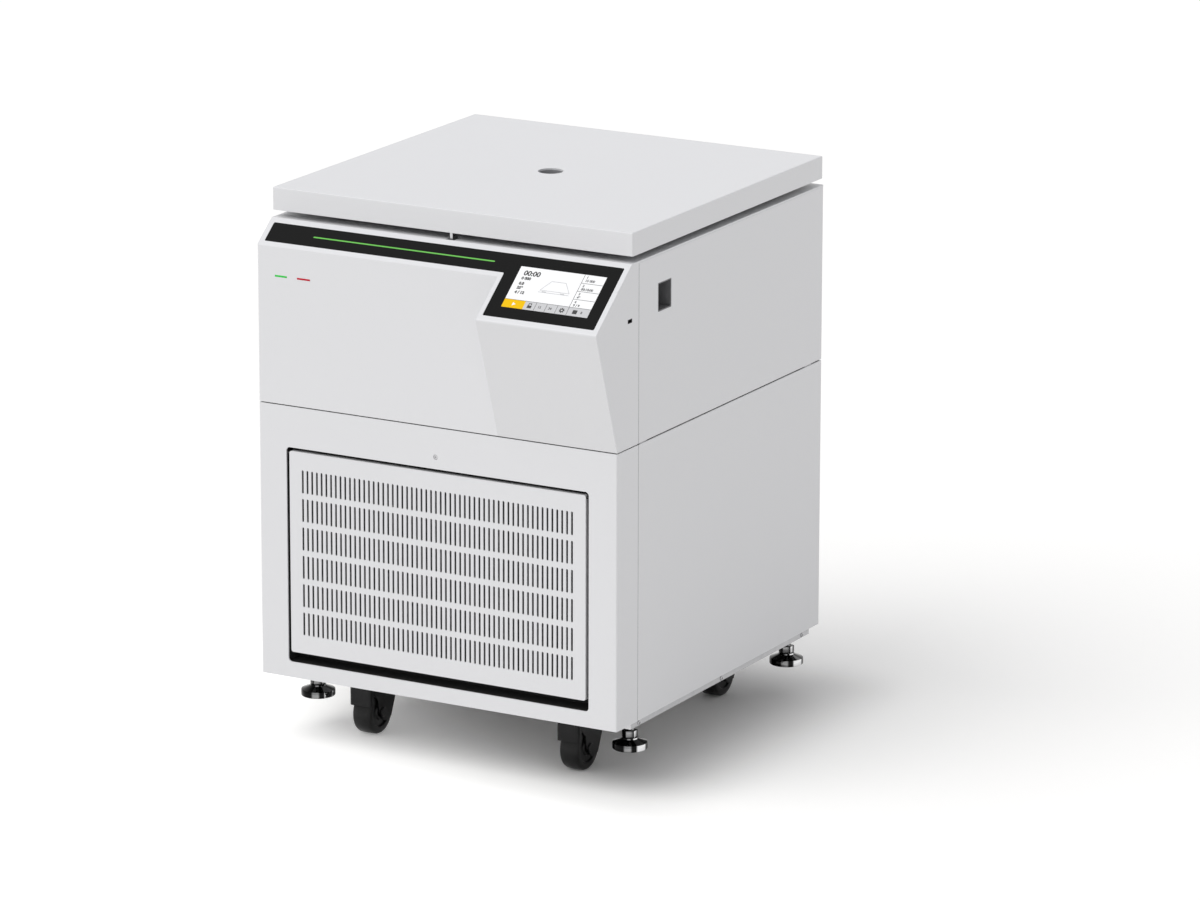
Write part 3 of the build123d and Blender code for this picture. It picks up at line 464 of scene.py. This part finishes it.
screenPlan = {
    "left": 155.0, "right": 318.0, "low": -59.0, "high": 28.0, "barHigh": -41.6,
    "keyEdges": (155.0, 195.0, 216.0, 236.0, 256.0, 277.5, 318.0), "ruleWidth": 0.7,
    "columnLeft": 277.0, "rows": (28.0, 9.7, -7.7, -24.7, -41.6),
    "status": ("00:00", 166.0, 10.5, 14.0),
    "readings": (("0 000", 1.6), ("0.0", -9.5), ("25\u00b0", -18.5), ("4 / 12", -28.1)), "readingSize": 7.6,
    "columnFigures": (("1", "15 000"), ("2", "00:10:00"), ("3", "4\u00b0"), ("4", "9 / 9")),
    "columnInset": 5.0, "columnDrops": (7.6, 14.6), "columnSize": 6.6,
    "keyNumbers": (("12", 221.0), ("34", 241.0), ("8", 302.0)), "keyDrop": 2.0, "keySize": 6.5,
    "markLevel": -50.6, "markHigh": 0.22,  # the marks below are placed from this level
    "startMark": {"x": 175.0, "radius": 4.2, "high": 0.3, "round": 0.3},
    "padlock": (201.5, 209.5, -4.5, 1.0), "shackle": ((203.2, 1), (203.2, 5), (207.8, 5), (207.8, 2.8)),
    "shackleWidth": 1.3, "gear": {"x": 266.7, "radius": 3.6, "teeth": 8, "eye": 1.7, "eyeHigh": 0.26},
    "stopMark": (287, 295.5, -4, 4),
    "outline": ((209.8, -15.5), (223.5, 5.0), (250.4, 5.0), (265.0, -15.5), (209.8, -15.5)),
    "outlineBase": ((208.0, -19.5), (265.0, -19.5)), "outlineWidth": 0.9,
    "dashes": {"starts": (215.0, 250.0), "long": 6, "s": -18.2, "width": 1.8},
}


def flatPatch(x0, x1, s0, s1, high=0.12):  # a thin printed patch, millimetres on the fascia
    return block("patch", (x0 * mm, s0 * mm, 0), (x1 * mm, s1 * mm, high * mm), 0.05 * mm, 1)


def number(words, x, s, size, bold=0.025, high=0.2):
    bpy.ops.object.select_all(action="DESELECT")
    bpy.ops.object.text_add(location=(x * mm, s * mm, high * mm / 2))
    obj = bpy.context.object
    obj.data.body = words
    obj.data.size = size * mm
    obj.data.offset = size * bold * mm
    obj.data.extrude = high * mm / 2
    pickOnly(obj)
    bpy.ops.object.convert(target="MESH")
    return settle(bpy.context.object)


def stroke(start, end, width, high=0.18):  # a straight printed line on the fascia
    start, end = Vector(start), Vector(end)
    run = end - start
    obj = block("stroke", (-width * mm / 2, -width * mm / 2, 0),
                (run.length * mm + width * mm / 2, width * mm / 2, high * mm))
    turn = Matrix.Rotation(math.atan2(run.y, run.x), 4, "Z")
    return place(obj, move(start.x * mm, start.y * mm, 0) @ turn)


def disk(x, s, radius, sides=24, high=0.2):
    obj = turned("disk", [(radius * mm, 0), (radius * mm, high * mm)], sides)
    return place(obj, move(x * mm, s * mm, 0))


def gear(x, s, radius, teeth):
    pieces = [disk(x, s, radius)]
    for index in range(teeth):
        angle = 2 * math.pi * index / teeth
        tip = (x + math.cos(angle) * radius * 1.2, s + math.sin(angle) * radius * 1.2)
        pieces.append(stroke((x, s), tip, radius * 0.5))
    return pieces


def printed(name, pieces, material):
    return addPiece(place(joined(name, pieces), onFascia), "cabinet", material)


def makeScreen(plan):
    level, edges, start, gearMark = (plan[key] for key in ("markLevel", "keyEdges", "startMark", "gear"))
    printed("screen_start_key", [flatPatch(edges[0], edges[1], plan["low"], plan["barHigh"])], yellowKey)
    printed("screen_keys", [flatPatch(edges[1], edges[-1], plan["low"], plan["barHigh"])], greyKey)
    bpy.ops.object.select_all(action="DESELECT")
    bpy.ops.mesh.primitive_cylinder_add(vertices=3, radius=start["radius"] * mm, depth=start["high"] * mm,
                                        location=(start["x"] * mm, level * mm, start["high"] * mm / 2),
                                        rotation=(0, 0, math.radians(-90)))
    printed("screen_start_mark", [bevelled(settle(bpy.context.object), start["round"] * mm, 2)], keyWhite)

    left, right, low, high = plan["padlock"]
    marks = [flatPatch(left, right, level + low, level + high, high=plan["markHigh"])]
    bends = [(x, level + rise) for x, rise in plan["shackle"]]
    marks += [stroke(near, far, plan["shackleWidth"]) for near, far in zip(bends[:-1], bends[1:])]
    marks += gear(gearMark["x"], level, gearMark["radius"], gearMark["teeth"])
    left, right, low, high = plan["stopMark"]
    marks.append(flatPatch(left, right, level + low, level + high, high=plan["markHigh"]))
    words, x, s, size = plan["status"]
    marks.append(number(words, x, s, size))
    marks += [number(words, x, s, plan["readingSize"], bold=0.05) for words, s in plan["readings"]]
    printed("screen_figures", marks, inkBlack)
    eye = disk(gearMark["x"], level, gearMark["eye"], high=gearMark["eyeHigh"])
    printed("screen_gear_eye", [eye], greyKey)

    column, bar, rule = plan["columnLeft"], plan["barHigh"], plan["ruleWidth"]
    lines = [stroke((column, plan["high"] - 0.4), (column, bar), rule)]
    for s in plan["rows"][1:-1]:
        lines.append(stroke((column, s), (plan["right"] - 1, s), rule))
    lines.append(stroke((plan["left"] + 0.5, bar), (plan["right"] - 0.5, bar), rule))
    for x in edges[2:-1]:
        lines.append(stroke((x, bar), (x, plan["low"] + 0.5), rule))
    for s, pair in zip(plan["rows"], plan["columnFigures"]):
        for words, drop in zip(pair, plan["columnDrops"]):
            lines.append(number(words, column + plan["columnInset"], s - drop, plan["columnSize"]))
    for words, x in plan["keyNumbers"]:
        lines.append(number(words, x, level - plan["keyDrop"], plan["keySize"]))
    printed("screen_lines", lines, inkGrey)

    points, dashes = plan["outline"], plan["dashes"]
    faint = [stroke(near, far, plan["outlineWidth"]) for near, far in zip(points[:-1], points[1:])]
    faint.append(stroke(*plan["outlineBase"], plan["outlineWidth"]))
    faint += [stroke((x, dashes["s"]), (x + dashes["long"], dashes["s"]), dashes["width"])
              for x in dashes["starts"]]
    printed("screen_outline", faint, inkFaint)


makeScreen(screenPlan)
print("screen drawn")


# Indicator lamps on the front cover
lampPlan = {"z": 828.0, "height": 3.0, "front": -330.4, "back": -327.6, "round": 0.4,
            "lamps": (("lamp_green", -303.0, 24.0, lampGreen), ("lamp_red", -258.0, 26.0, lampRed))}
lampLow, lampHigh = (lampPlan["z"] + side * lampPlan["height"] / 2 for side in (-1, 1))
for name, middle, width, material in lampPlan["lamps"]:
    lamp = block(name, ((middle - width / 2) * mm, lampPlan["front"] * mm, lampLow * mm),
                 ((middle + width / 2) * mm, lampPlan["back"] * mm, lampHigh * mm), lampPlan["round"] * mm)
    addPiece(lamp, "cabinet", material, ["indicator_lamps"])


# Dark strips in the side seams: painted shade, a dark sheet in each seam gap
seamShadePlan = {"outer": 349.9, "deep": 3.0, "y": (-257.95, -257.05), "z": (122.0, 912.5), "round": 0.1}
shadeStrips = []
for side in (-1, 1):
    inner, outer = sorted((side * (seamShadePlan["outer"] - seamShadePlan["deep"]) * mm, side * seamShadePlan["outer"] * mm))
    shadeStrips.append(block("strip", (inner, seamShadePlan["y"][0] * mm, seamShadePlan["z"][0] * mm),
                        (outer, seamShadePlan["y"][1] * mm, seamShadePlan["z"][1] * mm), seamShadePlan["round"] * mm))
# the seam strips are painted shade in the seam gaps
addPiece(joined("seam_shade_strips", shadeStrips), "cabinet", sealRubber)
print("lamps and seams made")


# Levelling feet: a chrome pad with a cone, dark from painted reflections, and a threaded spindle with a
# hexagon
footPlan = {
    "padLow": 55.0, "padSides": 64,  # pad steps: radius, height above padLow
    "padSteps": ((27.5, 0.0), (29.2, 0.5), (30.0, 1.6), (30.0, 10.4), (29.4, 11.6), (28.0, 12.2),
                 (15.5, 17.0), (14.2, 18.0), (13.6, 20.0), (8.6, 20.0), (8.6, 14.0)),
    "hexagon": {"radius": 13.8, "deep": 12.0, "middle": 82.0, "round": 0.8},
    "plainRadius": 7.9, "plainLow": 62.0, "threadFrom": 88.0, "threadTo": 196.0, "threadSides": 24,
    "root": 7.2, "crest": 8.0, "pitch": 2.0, "rootSpan": (0.5, 0.8), "crestSpan": (1.5, 1.8),
}


def makePad(plan):
    steps = [(radius, plan["padLow"] + height) for radius, height in plan["padSteps"]]
    return turned("pad", inMetres(steps), plan["padSides"])


def makeHexagon(plan):
    bpy.ops.object.select_all(action="DESELECT")
    bpy.ops.mesh.primitive_cylinder_add(vertices=6, radius=plan["radius"] * mm, depth=plan["deep"] * mm,
                                        location=(0, 0, plan["middle"] * mm))
    return bevelled(settle(bpy.context.object), plan["round"] * mm, 2)


def makeSpindle(plan):
    steps = [(plan["plainRadius"], plan["plainLow"]), (plan["plainRadius"], plan["threadFrom"])]
    height = plan["threadFrom"]
    while height < plan["threadTo"] - plan["pitch"]:
        steps += [(plan["root"], height + rise) for rise in plan["rootSpan"]]
        steps += [(plan["crest"], height + rise) for rise in plan["crestSpan"]]
        height += plan["pitch"]
    steps += [(plan["root"], plan["threadTo"])]
    rod = turned("rod", inMetres(steps), plan["threadSides"])
    return joined("spindle", [makeHexagon(plan["hexagon"]), rod])


padModel = makePad(footPlan)
spindleModel = makeSpindle(footPlan)
for corner in corners:
    low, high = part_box(f"foot_pad_{corner}")
    spot = move((low.x + high.x) / 2, (low.y + high.y) / 2, 0)
    # pads and spindles take the chrome with painted reflections
    addPiece(copied(padModel, f"pad_{corner}", spot), f"pad_{corner}", reflectionPaintedChrome,
             [f"foot_pad_{corner}"])
    addPiece(copied(spindleModel, f"spindle_{corner}", spot), f"spindle_{corner}", reflectionPaintedChrome,
             [f"foot_spindle_{corner}"])
bpy.data.objects.remove(padModel)
bpy.data.objects.remove(spindleModel)
print("feet made")


# Casters: tyred wheels with a dished hub, and an axle cap on both sides of each fork
casterPlan = {
    "radius": 40.0, "half": 18.0, "sides": 72, "smoothAngle": 40,
    # section steps: radius, depth in from the side face
    "section": ((5.2, 2.5), (9.0, 2.5), (10.0, 0.2), (14.0, 0.2), (15.5, 3.0), (25.0, 3.5), (27.0, 0.4),
                (34.5, 0.0), (38.0, 1.6), (39.7, 5.0)),
    "capOut": 21.5, "capSides": 32, "capSteps": ((8.5, 0), (8.5, 1.2), (7.6, 2.0), (5.2, 2.0), (4.6, 1.4)),
}


def makeWheel(plan):
    half = plan["half"]
    steps = [(radius, -half + inward) for radius, inward in plan["section"]]
    steps.append((plan["radius"], 0))
    steps += [(radius, half - inward) for radius, inward in reversed(plan["section"])]
    return turned("wheel", inMetres(steps), plan["sides"], angle=plan["smoothAngle"])


wheelModel = makeWheel(casterPlan)
for corner in corners:
    low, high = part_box(f"caster_wheel_{corner}")
    middle = (low + high) / 2
    spot = move(middle.x, middle.y, middle.z) @ alongX
    addPiece(copied(wheelModel, f"wheel_{corner}", spot), f"wheel_{corner}", tyreRubber,
             [f"caster_wheel_{corner}"])
    for side in (-1, 1):
        cap = turned("cap", inMetres(casterPlan["capSteps"]), casterPlan["capSides"])
        turn = alongX if side > 0 else alongX @ Matrix.Rotation(math.pi, 4, "X")
        cap = place(cap, move(middle.x + side * casterPlan["capOut"] * mm, middle.y, middle.z) @ turn)
        cap.name = f"axle_cap_{corner}_{'right' if side > 0 else 'left'}"
        addPiece(cap, f"fork_{corner}", casterPlastic)
bpy.data.objects.remove(wheelModel)
print("casters made")


# Condenser: a stack of thin fins between two end plates, crossed by tube rows
condenserPlan = {"finPitch": 4.0, "finThick": 0.5, "finInset": 1.0, "sideRoom": 3.0, "tubes": 9,
                 "tubeRadius": 4.5, "tubeSides": 16, "endThick": 2.0, "railHigh": 2.0, "endRound": 0.3}


def makeCondenser(plan):
    low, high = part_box("condenser")
    inset, room, rail, rounding = (plan[key] * mm for key in ("finInset", "sideRoom", "railHigh", "endRound"))
    fin = block("fin", (low.x + room, low.y + inset, low.z),
                (low.x + (plan["sideRoom"] + plan["finThick"]) * mm, high.y - inset, high.z))
    stack = fin.modifiers.new("stack", "ARRAY")
    stack.use_relative_offset = False
    stack.use_constant_offset = True
    stack.constant_offset_displace = (plan["finPitch"] * mm, 0, 0)
    stack.count = int((high.x - low.x - 2 * room) / (plan["finPitch"] * mm))
    applyAll(fin)
    ends = [block("end", (x, low.y, low.z), (x + plan["endThick"] * mm, high.y, high.z), rounding)
            for x in (low.x, high.x - plan["endThick"] * mm)]
    rails = [block("rail", (low.x, low.y, z), (high.x, high.y, z + rail), rounding)
             for z in (low.z, high.z - rail)]
    addPiece(joined("condenser_fins", [fin, *ends, *rails]), "cabinet", finAlloy, ["condenser"])
    tubes = []
    for index in range(plan["tubes"]):
        z = low.z + (high.z - low.z) * (index + 0.5) / plan["tubes"]
        tube = turned("tube", [(plan["tubeRadius"] * mm, x) for x in (low.x, high.x)], plan["tubeSides"])
        tubes.append(place(tube, move(0, (low.y + high.y) / 2, z) @ alongX))
    addPiece(joined("condenser_tubes", tubes), "cabinet", copperTube)


makeCondenser(condenserPlan)
print("condenser made")


# Heads of the visible screws, each with its washer and a round recess, and the door's lock
screwPlan = {"sideX": 347.5, "sideYs": (-249.0, 44.0, 343.0), "sideZ": 116.0,
             "rearXs": (-315.0, 315.0), "rearY": 400.0, "rearZs": (150.0, 560.0, 880.0), "sides": 32,
             "steps": ((4.6, 0), (4.6, 0.3), (3.7, 0.3), (3.6, 1.1), (2.9, 1.7), (1.6, 1.9), (1.5, 1.0)),
             "lockSteps": ((4.3, 0), (4.3, 1.2), (3.9, 1.6), (1.8, 1.6), (1.7, 0.6)),
             "lockSpot": (0, -0.3272, 0.5514)}  # the lock's place in metres
headModel = turned("head", inMetres(screwPlan["steps"]), screwPlan["sides"])
heads = []
for side in (-1, 1):
    turn = alongX if side > 0 else alongX @ Matrix.Rotation(math.pi, 4, "X")
    for y in screwPlan["sideYs"]:
        spot = move(side * screwPlan["sideX"] * mm, y * mm, screwPlan["sideZ"] * mm)
        heads.append(copied(headModel, "head", spot @ turn))
for x in screwPlan["rearXs"]:
    for z in screwPlan["rearZs"]:
        heads.append(copied(headModel, "head", move(x * mm, screwPlan["rearY"] * mm, z * mm) @ alongY))
lockHead = turned("lockHead", inMetres(screwPlan["lockSteps"]), screwPlan["sides"])
heads.append(place(lockHead, move(*screwPlan["lockSpot"]) @ Matrix.Rotation(math.radians(90), 4, "X")))
bpy.data.objects.remove(headModel)
addPiece(joined("cover_screw_heads", heads), "cabinet", screwSteel, ["cover_screws"])
print("screws made")


# Plain numbers beside the rotor's four places
rotorPlan = {"places": 4, "firstAngle": 45.0, "ring": 0.088, "axisY": 0.061, "plateTop": 0.747,  # metres
             "size": 11, "shift": -3.5}


def makeRotorNumbers(plan):
    marks = []
    for index in range(plan["places"]):
        angle = math.radians(360 / plan["places"] * index + plan["firstAngle"])
        digit = number(str(index + 1), plan["shift"], plan["shift"], plan["size"])
        turn = Matrix.Rotation(angle - math.radians(90), 4, "Z")
        spot = move(plan["ring"] * math.cos(angle), plan["axisY"] + plan["ring"] * math.sin(angle),
                    plan["plateTop"])
        marks.append(place(digit, spot @ turn))
    addPiece(joined("rotor_numbers", marks), "rotor", keyWhite)


makeRotorNumbers(rotorPlan)
print("rotor numbered")


# Floor and light
studioPlan = {
    "worldLevel": 0.605, "tint": (0.965, 0.972, 1.0, 1),
    "sunLevel": 1.36, "sunAngle": 45.0, "sunFrom": (-0.34, -0.52, 0.80),
    "floorSize": 60.0, "floorColor": (0.94, 0.932, 0.91, 1), "floorRoughness": 0.9,
    # painted light on the floor: a glow that brightens it away from the object's footprint, leaving a painted
    # shadow under it, and more on its lit side
    "floorPaintedLight": 0.16, "footprint": (0.35, 0.366), "middleY": 0.036, "fade": 0.20,
    "litSidePaintedLight": 0.33, "lit": (-0.45, -0.89), "litFrom": 0.0, "litTo": 0.42,
}


def seenOrMirrored(tree):  # 1 for rays from the camera, a mirror or glass, which see the plain background
    path = addNode(tree, "ShaderNodeLightPath")
    mirrored = addMath(tree, "MAXIMUM", path.outputs["Is Glossy Ray"], path.outputs["Is Transmission Ray"])
    return addMath(tree, "MAXIMUM", path.outputs["Is Camera Ray"], mirrored)


def makeFloor(plan):
    bpy.ops.object.select_all(action="DESELECT")
    bpy.ops.mesh.primitive_plane_add(size=plan["floorSize"])
    floor = bpy.context.object
    floor.name = "floor"
    material = bpy.data.materials.new("floorWithPaintedLight")
    material.use_nodes = True
    tree = material.node_tree
    shader = tree.nodes["Principled BSDF"]
    shader.inputs["Base Color"].default_value = plan["floorColor"]
    shader.inputs["Roughness"].default_value = plan["floorRoughness"]
    shader.inputs["Specular IOR Level"].default_value = 0.0
    coords = addNode(tree, "ShaderNodeTexCoord")
    split = addNode(tree, "ShaderNodeSeparateXYZ")
    tree.links.new(coords.outputs["Object"], split.inputs[0])
    halfX, halfY = plan["footprint"]
    sideways = addMath(tree, "ABSOLUTE", split.outputs["X"], 0.0)
    fromMiddle = addMath(tree, "SUBTRACT", split.outputs["Y"], plan["middleY"])
    lengthways = addMath(tree, "ABSOLUTE", fromMiddle, 0.0)
    awayX = addMath(tree, "MAXIMUM", addMath(tree, "SUBTRACT", sideways, halfX), 0.0)
    awayY = addMath(tree, "MAXIMUM", addMath(tree, "SUBTRACT", lengthways, halfY), 0.0)
    squares = addMath(tree, "ADD", addMath(tree, "MULTIPLY", awayX, awayX),
                      addMath(tree, "MULTIPLY", awayY, awayY))
    clear = mapped(tree, addMath(tree, "SQRT", squares, 0.0), 0.0, plan["fade"])
    towards = addMath(tree, "ADD", addMath(tree, "MULTIPLY", split.outputs["X"], plan["lit"][0]),
                      addMath(tree, "MULTIPLY", split.outputs["Y"], plan["lit"][1]))
    ahead = mapped(tree, towards, plan["litFrom"], plan["litTo"])
    paintedLight = addMath(tree, "ADD", addMath(tree, "MULTIPLY", ahead, plan["litSidePaintedLight"]),
                   addMath(tree, "MULTIPLY", clear, plan["floorPaintedLight"]))
    # the painted light on the floor is an emission seen only by camera, mirror and glass rays
    paintedGlow = addNode(tree, "ShaderNodeEmission")
    strength = addMath(tree, "MULTIPLY", paintedLight, seenOrMirrored(tree))
    tree.links.new(strength, paintedGlow.inputs["Strength"])
    blend = addNode(tree, "ShaderNodeAddShader")
    tree.links.new(shader.outputs[0], blend.inputs[0])
    tree.links.new(paintedGlow.outputs[0], blend.inputs[1])
    tree.links.new(blend.outputs[0], tree.nodes["Material Output"].inputs["Surface"])
    paint(floor, material)


def makeStudio(plan):
    makeFloor(plan)
    world = bpy.data.worlds.new("studio")
    bpy.context.scene.world = world
    world.use_nodes = True
    tree = world.node_tree
    background = tree.nodes["Background"]
    seen = seenOrMirrored(tree)
    raised = addMath(tree, "MULTIPLY", seen, 1.0 - plan["worldLevel"])
    level = addMath(tree, "ADD", raised, plan["worldLevel"])
    tree.links.new(level, background.inputs["Strength"])
    shade = addNode(tree, "ShaderNodeMix", data_type="RGBA")
    tree.links.new(seen, shade.inputs[0])
    shade.inputs[6].default_value = plan["tint"]  # colour A
    shade.inputs[7].default_value = (1, 1, 1, 1)  # colour B
    tree.links.new(shade.outputs[2], background.inputs["Color"])
    bpy.ops.object.light_add(type="SUN")
    sun = bpy.context.object
    sun.data.energy = plan["sunLevel"]
    sun.data.angle = math.radians(plan["sunAngle"])
    sun.rotation_mode = "QUATERNION"
    sun.rotation_quaternion = Vector(plan["sunFrom"]).to_track_quat("Z", "Y")


makeStudio(studioPlan)
bpy.context.scene.view_settings.view_transform = "Standard"
print("studio made")
